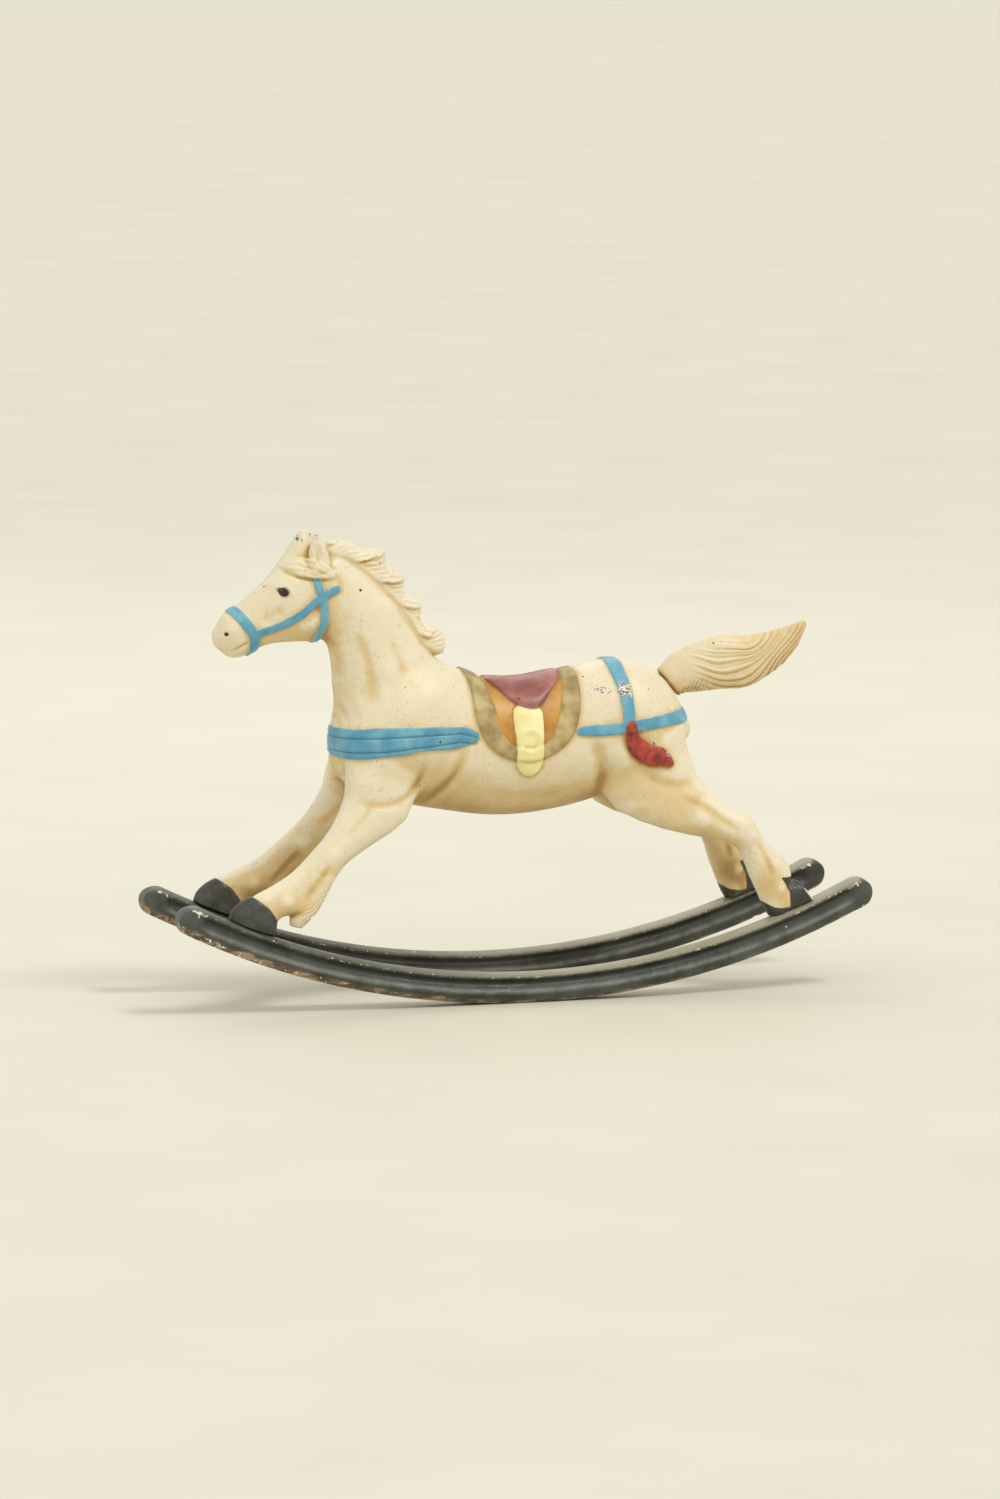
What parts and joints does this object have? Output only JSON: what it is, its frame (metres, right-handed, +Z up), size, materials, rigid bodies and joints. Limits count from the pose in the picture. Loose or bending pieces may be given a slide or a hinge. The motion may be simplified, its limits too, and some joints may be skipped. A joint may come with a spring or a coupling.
{
  "type": "rocking horse ornament",
  "caption": "Painted hollow-cast galloping horse with saddle, bridle and straps, standing on two curved rockers.",
  "frame": {"origin": "middle of the footprint on the table, under the line where both rockers touch it", "axes": "the horse faces -X, its left side is -Y, +Z up from the table"},
  "size_m": [0.432, 0.104, 0.2828],
  "materials": {
    "painted_casting": "satin",
    "rocker_paint": "satin",
    "screw_steel": "satin"
  },
  "bodies": {
    "root": {"left_body_half": "painted_casting", "right_body_half": "painted_casting", "tail": "painted_casting", "left_rocker": "rocker_paint", "right_rocker": "rocker_paint", "neck_screw": "screw_steel", "shoulder_screw": "screw_steel", "rump_screw": "screw_steel", "tail_cross_pin": "screw_steel", "hoof_screws": "screw_steel", "hoof_screw_washers": "screw_steel"}
  },
  "joints": []
}
